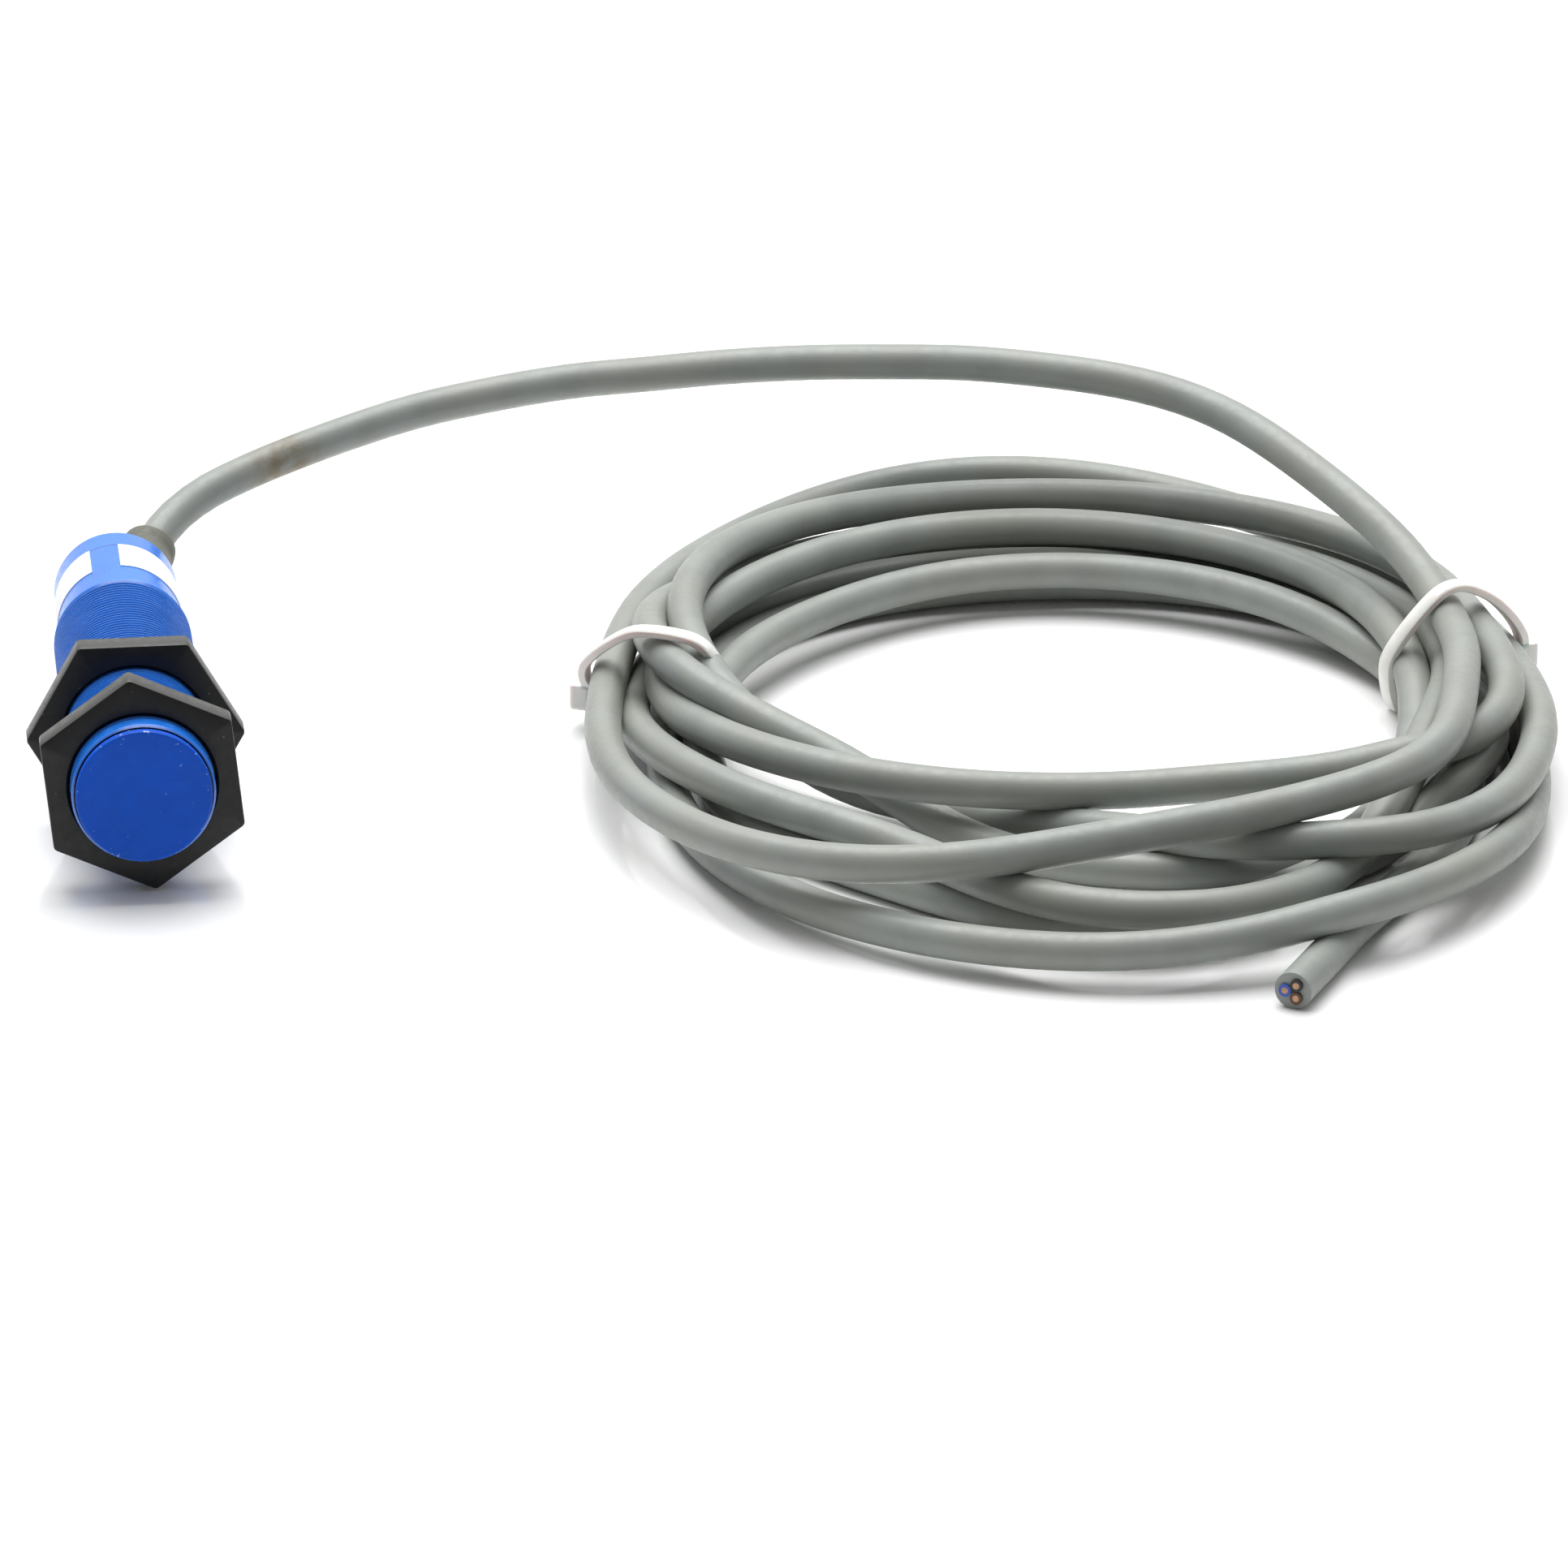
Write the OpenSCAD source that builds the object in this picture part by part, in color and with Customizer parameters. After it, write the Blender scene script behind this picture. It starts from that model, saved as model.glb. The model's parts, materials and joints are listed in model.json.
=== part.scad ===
// M18 capacitive proximity sensor with two plastic lock nuts and a coiled three-core lead.
// The sensor lies on a corner of its front nut and on its rear rim, so its nose points a little up.
// Inside lay(), local z runs back from the sensing face, x runs right and y runs down.

/* [Barrel] */
// Major diameter of the M18 thread
thread_d = 18; // [16:0.1:20]
// Pitch of the thread
thread_pitch = 1; // [0.75:0.25:1.5]
// Length from the sensing face to the rear face
body_len = 85.6; // [80:0.1:100]
// Station where the thread ends
thread_end = 62.5; // [55:0.5:66]
// Diameter of the smooth part behind the thread
smooth_d = 16.3; // [15.6:0.1:16.8]
// Diameter of the hollow inside the barrel
bore_d = 14.4; // [14:0.1:14.8]
// Diameter of the sensing face
face_d = 16.6; // [16:0.1:17]
// Thickness of the sensing face
face_t = 1.2; // [1:0.1:2]

/* [Lock nuts] */
// Width across the flats of a nut
nut_af = 24; // [22:0.5:27]
// Thickness of a nut
nut_t = 4; // [3:0.5:6]
// Station of the front nut's front face
front_nut_at = 4.4; // [4.2:0.1:10]
// Station of the rear nut's front face
rear_nut_at = 23.8; // [20:0.1:40]
// Turn of the front nut away from corner up
front_nut_turn = 5.5; // [-10:0.5:10]
// Radial clearance between a nut and the thread crests
nut_clearance = 0.05; // [0.02:0.01:0.1]

/* [Rear end] */
// Length of the end cap's visible ring
cap_len = 5.5; // [4:0.5:8]
// Width of the printed label
label_w = 9.4; // [6:0.2:12]
// Thickness of the label
label_t = 0.1; // [0.05:0.05:0.2]
// Angle that the label leaves open on top
label_gap = 27; // [10:1:60]
// Diameter of the strain relief
boot_d = 7.4; // [6:0.1:8]
// Diameter of the adjusting screw
screw_d = 3.4; // [2.5:0.1:4]
// Diameter of the indicator LED
led_d = 3; // [2:0.5:3]

/* [Cable] */
// Outer diameter of the cable
cable_d = 4.8; // [4:0.1:5.2]
// Diameter of one insulated core
core_d = 1.6; // [1.2:0.1:1.8]
// Diameter of a copper conductor
copper_d = 0.84; // [0.6:0.02:1]
// Radius of the coil at the middle of its bundle
coil_r = 57; // [50:0.5:65]
// Width of the coil's bundle
coil_w = 20; // [15:1:24]
// Height of the coil's bundle
coil_h = 14; // [13:1:22]
// Width of a cable tie's strap
tie_w = 2.6; // [2:0.1:4]
// Thickness of a cable tie's strap
tie_t = 1.2; // [0.8:0.1:1.5]

/* [Inside] */
// Width of the circuit board
board_w = 11.6; // [8:0.2:12]
// Thickness of the circuit board
board_t = 1; // [0.8:0.1:1.6]
// Station of the circuit board's rear end
board_end = 77; // [70:1:77]

/* [Hidden] */

$fn = 96;

// Barrel: radii and stations
thread_r = thread_d / 2;
thread_depth = 0.54 * thread_pitch;
root_r = thread_r - thread_depth;
smooth_r = smooth_d / 2;
bore_r = bore_d / 2;
face_r = face_d / 2;
rim_r = face_r + 0.4;
rim_back = face_t + 0.4;
groove_back = face_t + 1.5;
groove_r = bore_r + 0.5;
land_end = 3.6;
turns = floor((thread_end - land_end) / thread_pitch);
cap_at = body_len - cap_len;
label_at = cap_at - label_w;
skirt_len = 5;
skirt_t = 0.8;

// Nuts and the attitude they give the sensor on the floor
nut_r = nut_af / sqrt(3);
front_nut_back = front_nut_at + nut_t;
corner_drop = nut_r * cos(front_nut_turn);
nose_up = atan((corner_drop - smooth_r) / (body_len - front_nut_back));
face_height = front_nut_back * sin(nose_up) + corner_drop * cos(nose_up);

// Rear end: centres of what shares the rear face, as [right, up]
boot_at = [4, 1.8];
screw_at = [-3.9, -2.6];
led_at = [-3.4, 3.4];
boot_r = boot_d / 2;
boot_bend_at = 93.5;
boot_tip = [5.5, 3.2, 96];
cap_spigot = 2;
screw_clearance = 0.08;
screw_sink = 0.5;

// Circuit board: its underside is just below the sensor's axis
board_under = -0.2;
board_top = board_under + board_t;
board_front = 4;

// The middle of the sensor, from the face's lower edge to the strain relief's tip, is at y = 0
reach_front = -face_r * sin(nose_up);
reach_back = boot_tip[2] * cos(nose_up) + boot_tip[1] * sin(nose_up) + boot_r;
mid_y = (reach_front + reach_back) / 2;

// Free stretch of the cable, from the strain relief's tip to the top of the coil, in mm.
// The first point lies inside the strain relief's rounded end.
cable_route = [
    [5.5, 46.5, 10.5], [7.5, 49.5, 12], [12.5, 53.5, 14.5], [18.5, 56, 16.5],
    [25.5, 58, 18.5], [33, 59.5, 20.5], [41, 60.5, 22.5], [52, 61, 24.5],
    [63, 61, 26], [73.5, 60, 27], [84.5, 59, 28], [95.5, 58, 28.5],
    [106.5, 57, 28.5], [117, 55.5, 28.5], [127.5, 52.5, 28], [136.5, 49.5, 27.5],
    [146.5, 43.5, 26], [152, 36.5, 24.5], [157, 28, 22.5], [161, 21.5, 20.5],
    [164.5, 15, 18.5], [167, 8, 16], [169, 2, 14]];
cable_sides = 12;

// Coil, its ties and the cut end of the cable
coil_at = [119.5, -20, 0];
coil_corner = 6;
tie_left_angle = 158;
tie_right_angle = 19;
tail_at = [136.5, -97.2];
tail_heading = 60;
tail_len = 20;
core_ring_r = core_d * 0.6;
inner_ring_r = core_d * 0.81;

// ---- shared shapes ----

// Places the sensor's own frame on the floor
module lay() {
    translate([0, -mid_y, face_height]) rotate([-90 - nose_up, 0, 0]) children();
}

// Moves to a station behind the face, offset right and up
module at(station, offset = [0, 0]) {
    translate([offset[0], -offset[1], station]) children();
}

// A block on the board: centre x, station of its front, and the height of its underside
module block(x, station, under, size) {
    translate([x - size[0] / 2, -under - size[2], station]) cube([size[0], size[2], size[1]]);
}

// A hexagon nut with a plain bore that clears the thread crests
module hex_nut(turn) {
    difference() {
        rotate([0, 0, turn]) cylinder(r = nut_r, h = nut_t, $fn = 6);
        translate([0, 0, -1]) cylinder(r = thread_r + nut_clearance, h = nut_t + 2);
    }
}

function unit(v) = v / norm(v);

// Direction of a route at one of its points
function heading(route, i) =
    unit(route[min(i + 1, len(route) - 1)] - route[max(i - 1, 0)]);

// A tube swept along a route, one ring of points at each of its points.
// The route never runs along across, which keeps the rings from twisting.
module swept_tube(route, r, sides, across) {
    rings = [for (i = [0:len(route) - 1])
        let (along = heading(route, i), side = unit(cross(along, across)), over = cross(side, along))
        for (k = [0:sides - 1])
            route[i] + r * (cos(360 * k / sides) * side + sin(360 * k / sides) * over)];
    last = (len(route) - 1) * sides;
    walls = [for (i = [0:len(route) - 2]) for (k = [0:sides - 1])
        let (next = (k + 1) % sides)
        [i * sides + k, (i + 1) * sides + k, (i + 1) * sides + next, i * sides + next]];
    start_cap = [for (k = [0:sides - 1]) k];
    end_cap = [for (k = [sides - 1:-1:0]) last + k];
    polyhedron(rings, concat([start_cap], walls, [end_cap]), convexity = 4);
}

// Cross-section of the coil's bundle, grown all round by an amount
module bundle_section(grow) {
    half_w = coil_w / 2 + grow;
    half_h = coil_h / 2 + grow;
    corner = coil_corner + grow;
    translate([coil_r, coil_h / 2]) {
        square([2 * half_w, 2 * (half_h - corner)], center = true);
        square([2 * (half_w - corner), 2 * half_h], center = true);
        for (x = [-1, 1], z = [-1, 1])
            translate([x * (half_w - corner), z * (half_h - corner)]) circle(r = corner);
    }
}

// What lies higher than a level in a section
module above(level) {
    intersection() {
        children();
        translate([0, level]) square([2 * coil_r, 2 * coil_h]);
    }
}

// ---- the sensor's shell ----

// One turn's profile: crest flat, flank, root flat, flank
function thread_points() = [for (k = [0:turns - 1])
    let (start = land_end + k * thread_pitch)
    each [[thread_r, start], [thread_r, start + thread_pitch / 8],
        [root_r, start + thread_pitch * 7 / 16], [root_r, start + thread_pitch * 11 / 16]]];

module housing() {
    color([0.08, 0.27, 0.68])
        lay() rotate_extrude() polygon(concat(
            [[bore_r, face_t], [groove_r, face_t], [groove_r, groove_back],
                [rim_r, groove_back], [rim_r, face_t], [thread_r, rim_back]],
            thread_points(),
            [[thread_r, thread_end - 0.4], [thread_r, thread_end], [smooth_r, thread_end],
                [smooth_r, cap_at], [bore_r, cap_at]]));
}

module sensing_face() {
    color([0.10, 0.31, 0.70])
        lay() difference() {
            union() {
                cylinder(r = face_r, h = face_t);
                at(face_t) cylinder(r = bore_r, h = skirt_len);
            }
            at(face_t) cylinder(r = bore_r - skirt_t, h = skirt_len + 1);
        }
}

module rear_cap() {
    color([0.08, 0.27, 0.68])
        lay() difference() {
            union() {
                at(cap_at) cylinder(r = smooth_r, h = cap_len);
                at(cap_at - cap_spigot) cylinder(r = bore_r, h = cap_spigot);
            }
            at(cap_at - cap_spigot - 1, boot_at) cylinder(r = cable_d / 2, h = cap_spigot + 2);
            at(cap_at, boot_at) cylinder(r = boot_r, h = cap_len + 1);
            at(cap_at - cap_spigot - 1, screw_at)
                cylinder(r = screw_d / 2 + screw_clearance, h = cap_len + cap_spigot + 2);
            at(cap_at - cap_spigot - 1, led_at) cylinder(r = led_d / 2, h = cap_len + cap_spigot + 2);
        }
}

// A soft boot that starts along the barrel and bends with the cable
module strain_relief() {
    lean = [boot_tip[0] - boot_at[0], boot_at[1] - boot_tip[1], boot_tip[2] - boot_bend_at];
    color([0.42, 0.41, 0.36])
        lay() difference() {
            union() {
                at(cap_at, boot_at) cylinder(r = boot_r, h = boot_bend_at - cap_at);
                at(boot_bend_at, boot_at) sphere(r = boot_r + 0.05);
                at(boot_bend_at, boot_at)
                    rotate([0, acos(lean[2] / norm(lean)), atan2(lean[1], lean[0])])
                        cylinder(r = boot_r - 0.05, h = norm(lean));
                at(boot_tip[2], [boot_tip[0], boot_tip[1]]) sphere(r = boot_r);
            }
            at(cap_at - 1, boot_at) cylinder(r = cable_d / 2, h = boot_bend_at - cap_at);
        }
}

module label() {
    color([0.93, 0.94, 0.95])
        lay() at(label_at) rotate([0, 0, -88]) rotate_extrude(angle = 360 - label_gap)
            translate([smooth_r, 0]) square([label_t, label_w]);
}

// ---- what turns or slides ----

module front_nut() {
    color([0.09, 0.09, 0.08]) lay() at(front_nut_at) hex_nut(30 - front_nut_turn);
}

module rear_nut() {
    color([0.09, 0.09, 0.08]) lay() at(rear_nut_at) hex_nut(0);
}

// Slotted screw of the sensitivity trimmer, sunk just below the rear face
module sensitivity_screw() {
    front = cap_at - cap_spigot + 0.6;
    back = body_len - screw_sink;
    color([0.85, 0.75, 0.45])
        lay() difference() {
            at(front, screw_at) cylinder(r = screw_d / 2, h = back - front);
            at(back - 1, screw_at) translate([-screw_d, -0.3, 0]) cube([2 * screw_d, 0.6, 2]);
        }
}

// ---- electronics ----

module trimmer_body() {
    front = board_end - 9;
    color([0.12, 0.25, 0.60])
        lay() {
            at(front, screw_at) cylinder(r = 2.35, h = cap_at - cap_spigot - front);
            block(screw_at[0], front, -2.6, [3, 8, 2.4]);
        }
}

module indicator_led() {
    front = cap_at - cap_spigot;
    color([0.95, 0.75, 0.15])
        lay() {
            at(front - 1, led_at) cylinder(r = led_d / 2 + 0.3, h = 1);
            at(front, led_at) cylinder(r = led_d / 2, h = body_len - front - 0.6);
            at(body_len - 0.6, led_at) difference() {
                sphere(r = led_d / 2);
                translate([0, 0, -2]) cube([4, 4, 4], center = true);
            }
        }
}

module led_leads() {
    start = cap_at - cap_spigot - 1;
    color([0.75, 0.75, 0.76])
        lay() for (side = [-0.7, 0.7])
            swept_tube([[led_at[0] + side, -led_at[1], start],
                [led_at[0] + side, -led_at[1], start - 3],
                [led_at[0] + side, -board_top - 0.27, start - 5],
                [led_at[0] + side, -board_top - 0.27, start - 7]], 0.25, 8, [1, 0, 0]);
}

module electrode_disc() {
    color([0.72, 0.45, 0.25]) lay() at(face_t) cylinder(r = 4, h = 0.3);
}

module guard_ring() {
    color([0.72, 0.45, 0.25])
        lay() at(face_t) rotate_extrude() translate([4.7, 0]) square([1.6, 0.3]);
}

module electrode_carrier() {
    color([0.90, 0.88, 0.80])
        lay() difference() {
            at(face_t + 0.3) cylinder(r = bore_r - skirt_t, h = board_front - face_t - 0.3);
            for (x = [0, 5.2]) at(face_t, [x, pin_up]) cylinder(r = 0.4, h = 4, $fn = 32);
        }
}

// Height of the electrode pins, level with the middle of the board's edge
pin_up = board_under + board_t / 2;

module electrode_pins() {
    color([0.75, 0.75, 0.76])
        lay() for (x = [0, 5.2])
            at(face_t + 0.3, [x, pin_up]) cylinder(r = 0.4, h = board_front - face_t - 0.3, $fn = 32);
}

module shield_sleeve() {
    color([0.78, 0.66, 0.36])
        lay() at(face_t + skirt_len) rotate_extrude() translate([bore_r - 0.3, 0]) square([0.3, 26]);
}

// The board is cut away at the rear right, where the cable comes in
module circuit_board() {
    color([0.10, 0.42, 0.22])
        lay() difference() {
            block(0, board_front, board_under, [board_w, board_end - board_front, board_t]);
            block(board_w / 2, board_end - 7, board_under - 1, [board_w, 8, board_t + 2]);
        }
}

module oscillator_chip() {
    color([0.08, 0.08, 0.09]) lay() block(0, 12, board_top, [5, 5, 1.5]);
}

module comparator_chip() {
    color([0.08, 0.08, 0.09]) lay() block(0, 34, board_top, [4, 5, 1.5]);
}

module output_transistor() {
    color([0.08, 0.08, 0.09])
        lay() {
            block(0, 48, board_top, [6.4, 3.5, 1.6]);
            for (x = [-2.3, 0, 2.3]) block(x, 46.9, board_top, [0.7, 1.1, 0.4]);
            block(0, 51.5, board_top, [3, 1.1, 0.4]);
        }
}

module tantalum_capacitor() {
    color([0.85, 0.62, 0.20]) lay() block(0, 41, board_under - 2.5, [3.2, 6, 2.5]);
}

// Small parts stand in rows on both faces of the board
module chip_capacitors() {
    color([0.72, 0.58, 0.42])
        lay() {
            for (station = [8, 20, 27, 42]) block(-3.5, station, board_top, [1.6, 3.2, 1.2]);
            for (station = [22, 30]) block(3.2, station, board_under - 1.2, [1.6, 3.2, 1.2]);
        }
}

module chip_resistors() {
    color([0.15, 0.15, 0.17])
        lay() {
            for (station = [20, 24, 28, 41]) block(3.5, station, board_top, [1.2, 2, 0.5]);
            for (station = [10:4:34]) block(-3.2, station, board_under - 0.5, [1.2, 2, 0.5]);
        }
}

module protection_diodes() {
    color([0.20, 0.20, 0.22])
        lay() for (x = [-2.6, 2.6]) block(x, 49, board_under - 1.2, [1.8, 3.8, 1.2]);
}

// Stations and places across where the three cores land on the board
core_pads = [3.3, 1.5, 5.1];
pad_at = 66.5;

module solder_joints() {
    color([0.80, 0.80, 0.82])
        lay() for (x = core_pads)
            translate([x, -board_top, pad_at]) rotate([90, 0, 0]) cylinder(r1 = 0.8, r2 = 0.4, h = 1);
}

// Resin plug that locks the board in the barrel
module potting_resin() {
    color([0.25, 0.22, 0.16])
        lay() difference() {
            at(54) cylinder(r = bore_r, h = 8);
            block(0, 53, board_under, [board_w, 10, board_t]);
        }
}

// One insulated core, fanned out from the cable's end to its pad on the board
module inner_core(index) {
    angle = 90 + 120 * index;
    start = [boot_at[0] + inner_ring_r * cos(angle), -boot_at[1] - inner_ring_r * sin(angle)];
    lift = board_top + core_d / 2 + 0.02;
    lay() swept_tube([[start[0], start[1], 77.5], [start[0], start[1], 76],
        [core_pads[index], -lift, 71.5], [core_pads[index], -lift, pad_at + 0.8]],
        core_d / 2, 12, [1, 0, 0]);
}

module inner_core_brown() { color([0.35, 0.20, 0.12]) inner_core(1); }
module inner_core_blue() { color([0.10, 0.25, 0.65]) inner_core(0); }
module inner_core_black() { color([0.05, 0.05, 0.05]) inner_core(2); }

// ---- cable ----

// The jacket where it runs inside the strain relief and the end cap
module cable_entry() {
    color([0.60, 0.62, 0.60])
        lay() at(77.5, boot_at) cylinder(r = cable_d / 2, h = boot_bend_at - 78.5);
}

module cable_run() {
    color([0.60, 0.62, 0.60]) swept_tube(cable_route, cable_d / 2, cable_sides, [0, 0, 1]);
}

// A tie's strap, wrapped round the bundle at one place along the coil; its underside is level
// with the coil's, which has a notch there
module tie_strap(angle, extra = 0) {
    spread = 2 * asin((tie_w / 2 + extra) / coil_r);
    translate(coil_at) rotate([0, 0, angle - spread / 2]) rotate_extrude(angle = spread)
        difference() {
            above(0) bundle_section(tie_t);
            above(tie_t + extra) bundle_section(-extra);
        }
}

module cable_coil() {
    color([0.60, 0.62, 0.60])
        difference() {
            translate(coil_at) rotate_extrude() bundle_section(0);
            tie_strap(tie_left_angle, 0.05);
            tie_strap(tie_right_angle, 0.05);
        }
}

// A tie is its strap with the lock head on the coil's outside
module cable_tie(angle) {
    color([0.93, 0.93, 0.90]) {
        tie_strap(angle);
        translate(coil_at) rotate([0, 0, angle])
            translate([coil_r + coil_w / 2 + tie_t / 2, -2.4, 7]) cube([3.5, 4.8, 5]);
    }
}

module cable_tie_left() { cable_tie(tie_left_angle); }
module cable_tie_right() { cable_tie(tie_right_angle); }

// Places a shape along the cut end of the cable, which lies on the floor
module along_tail() {
    translate([tail_at[0], tail_at[1], cable_d / 2]) rotate([0, 90, tail_heading]) children();
}

module tail_core(index, r, h) {
    rotate([0, 0, 90 - 120 * index]) translate([core_ring_r, 0, 0]) cylinder(r = r, h = h, $fn = 32);
}

module cable_tail() {
    color([0.60, 0.62, 0.60])
        along_tail() difference() {
            cylinder(r = cable_d / 2, h = tail_len);
            for (index = [0:2]) translate([0, 0, -1]) tail_core(index, core_d / 2, 11);
        }
}

module core_end(index) {
    along_tail() difference() {
        tail_core(index, core_d / 2, 10);
        translate([0, 0, -1]) tail_core(index, copper_d / 2, 12);
    }
}

module core_end_brown() { color([0.35, 0.20, 0.12]) core_end(1); }
module core_end_blue() { color([0.10, 0.25, 0.65]) core_end(0); }
module core_end_black() { color([0.05, 0.05, 0.05]) core_end(2); }

module conductor_ends() {
    color([0.72, 0.45, 0.25])
        along_tail() for (index = [0:2]) tail_core(index, copper_d / 2, 10);
}

housing();
sensing_face();
rear_cap();
strain_relief();
label();
front_nut();
rear_nut();
sensitivity_screw();
trimmer_body();
indicator_led();
led_leads();
electrode_disc();
guard_ring();
electrode_carrier();
electrode_pins();
shield_sleeve();
circuit_board();
oscillator_chip();
comparator_chip();
output_transistor();
tantalum_capacitor();
chip_capacitors();
chip_resistors();
protection_diodes();
solder_joints();
potting_resin();
inner_core_brown();
inner_core_blue();
inner_core_black();
cable_entry();
cable_run();
cable_coil();
cable_tail();
core_end_brown();
core_end_blue();
core_end_black();
conductor_ends();
cable_tie_left();
cable_tie_right();
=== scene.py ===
# The looks of an M18 proximity sensor: a blue threaded barrel with two black lock nuts, a grey lead
# that arches off it into a loose coil held by two nylon ties, and the bare cut end of the lead.
# Sizes are in mm and angles in degrees, unless a comment says otherwise. Blender's own are in metres.
import json
from math import cos, pi, radians, sin

import bmesh
import bpy
import numpy as np
from mathutils import Matrix, Vector


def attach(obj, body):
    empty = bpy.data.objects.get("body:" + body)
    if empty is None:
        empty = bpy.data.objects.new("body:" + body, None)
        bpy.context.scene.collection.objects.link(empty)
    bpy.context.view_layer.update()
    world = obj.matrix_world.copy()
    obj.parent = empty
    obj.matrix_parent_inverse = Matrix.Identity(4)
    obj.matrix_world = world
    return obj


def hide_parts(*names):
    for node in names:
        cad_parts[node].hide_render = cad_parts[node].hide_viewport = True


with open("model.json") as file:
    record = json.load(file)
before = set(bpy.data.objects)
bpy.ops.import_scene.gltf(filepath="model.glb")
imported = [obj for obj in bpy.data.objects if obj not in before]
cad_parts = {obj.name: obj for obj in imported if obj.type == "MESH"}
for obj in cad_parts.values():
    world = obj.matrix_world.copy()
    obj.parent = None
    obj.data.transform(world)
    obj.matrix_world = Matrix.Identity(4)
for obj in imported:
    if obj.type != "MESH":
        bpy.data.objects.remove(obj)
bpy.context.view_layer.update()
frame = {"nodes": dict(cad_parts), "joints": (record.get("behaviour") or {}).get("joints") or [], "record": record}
record = frame["record"]

MM = 0.001

# ---------------------------------------------------------------- camera, light and floor

# The camera's place in metres
CAMERA_AT = (-0.0376, -1.1178, 0.4642)
CAMERA_TILT = 67.2
CAMERA_HEADING = -6.27
CAMERA_LENS = 214.3

# The surroundings are brightest towards SKY_TOWARDS. A direction's share along it turns into
# brightness: SKY_LOW up to a share of SKY_FROM, and SKY_HIGH from SKY_TO on.
SKY_TOWARDS = (0, 0.75, 0.66)
SKY_FROM = -0.1
SKY_TO = 0.8
SKY_LOW = 0.2
SKY_HIGH = 1.05

# The soft light's place, target and width in metres, and its power in watts
LIGHT_AT = (0.05, 0.3, 0.9)
LIGHT_TARGET = (0.08, 0, 0)
LIGHT_SIZE = 0.9
LIGHT_WATTS = 13

# Half of the floor's width, in metres
FLOOR_HALF = 6
FLOOR_WHITE = (0.93, 0.935, 0.93, 1)


def add_camera():
    data = bpy.data.cameras.new("camera")
    data.lens = CAMERA_LENS
    data.sensor_width = 36
    data.clip_start = 0.05
    data.clip_end = 20
    camera = bpy.data.objects.new("camera", data)
    camera.location = CAMERA_AT
    camera.rotation_euler = (radians(CAMERA_TILT), 0, radians(CAMERA_HEADING))
    bpy.context.scene.collection.objects.link(camera)
    bpy.context.scene.camera = camera


def add_light():
    """A large square light above and behind the object."""
    data = bpy.data.lights.new("overhead", "AREA")
    data.shape = "SQUARE"
    data.size = LIGHT_SIZE
    data.energy = LIGHT_WATTS
    light = bpy.data.objects.new("overhead", data)
    light.location = LIGHT_AT
    aim = Vector(LIGHT_TARGET) - Vector(LIGHT_AT)
    light.rotation_euler = aim.to_track_quat("-Z", "Y").to_euler()
    bpy.context.scene.collection.objects.link(light)


def add_surroundings():
    """White surroundings, bright above and behind the object and dim in front of it and below."""
    world = bpy.data.worlds.new("studio")
    world.use_nodes = True
    tree = world.node_tree
    background = tree.nodes["Background"]
    background.inputs["Color"].default_value = (1, 1, 1, 1)
    place = tree.nodes.new("ShaderNodeTexCoord")
    share = tree.nodes.new("ShaderNodeVectorMath")
    share.operation = "DOT_PRODUCT"
    share.inputs[1].default_value = SKY_TOWARDS
    brightness = tree.nodes.new("ShaderNodeMapRange")
    brightness.inputs["From Min"].default_value = SKY_FROM
    brightness.inputs["From Max"].default_value = SKY_TO
    brightness.inputs["To Min"].default_value = SKY_LOW
    brightness.inputs["To Max"].default_value = SKY_HIGH
    tree.links.new(place.outputs["Generated"], share.inputs[0])
    tree.links.new(share.outputs["Value"], brightness.inputs["Value"])
    tree.links.new(brightness.outputs["Result"], background.inputs["Strength"])
    bpy.context.scene.world = world
    bpy.context.scene.view_settings.view_transform = "Standard"


def add_floor():
    """A wide white floor, slightly glossy."""
    material = bpy.data.materials.new("floor")
    material.use_nodes = True
    shader = material.node_tree.nodes["Principled BSDF"]
    shader.inputs["Base Color"].default_value = FLOOR_WHITE
    shader.inputs["Roughness"].default_value = 0.1
    shader.inputs["Specular IOR Level"].default_value = 0.8
    corners = [(x * FLOOR_HALF, y * FLOOR_HALF, 0) for x, y in ((-1, -1), (1, -1), (1, 1), (-1, 1))]
    mesh = bpy.data.meshes.new("floor")
    mesh.from_pydata(corners, [], [(0, 1, 2, 3)])
    mesh.materials.append(material)
    floor = bpy.data.objects.new("floor", mesh)
    bpy.context.scene.collection.objects.link(floor)


# ---------------------------------------------------------------- where the sensor lies

# The middle of the sensing face, in metres, and the barrel's directions. The nuts travel along BACK.
FACE_AT = Vector(next(m["pos_m"] for m in record["mounts"] if m["name"] == "sensing_face"))
BACK = Vector(next(j["axis"] for j in frame["joints"] if j["name"] == "front_nut_travel")).normalized()
RIGHT = Vector((1, 0, 0))
DOWN = BACK.cross(RIGHT)

# Turns (right, down, behind the face) in mm into a place in metres
SENSOR = Matrix.Translation(FACE_AT) @ Matrix(
    [(RIGHT[i] * MM, DOWN[i] * MM, BACK[i] * MM) for i in range(3)]).to_4x4()


# ---------------------------------------------------------------- meshes

def new_object(name, verts, faces, material, at):
    """A smooth mesh object, from points in the units of the matrix at."""
    mesh = bpy.data.meshes.new(name)
    mesh.from_pydata([tuple(at @ Vector(v)) for v in verts], [], faces)
    bm = bmesh.new()
    bm.from_mesh(mesh)
    bmesh.ops.remove_doubles(bm, verts=bm.verts, dist=1e-6)
    bmesh.ops.recalc_face_normals(bm, faces=bm.faces)
    bm.to_mesh(mesh)
    bm.free()
    mesh.polygons.foreach_set("use_smooth", [True] * len(mesh.polygons))
    mesh.materials.append(material)
    thing = bpy.data.objects.new(name, mesh)
    bpy.context.scene.collection.objects.link(thing)
    return thing


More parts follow.
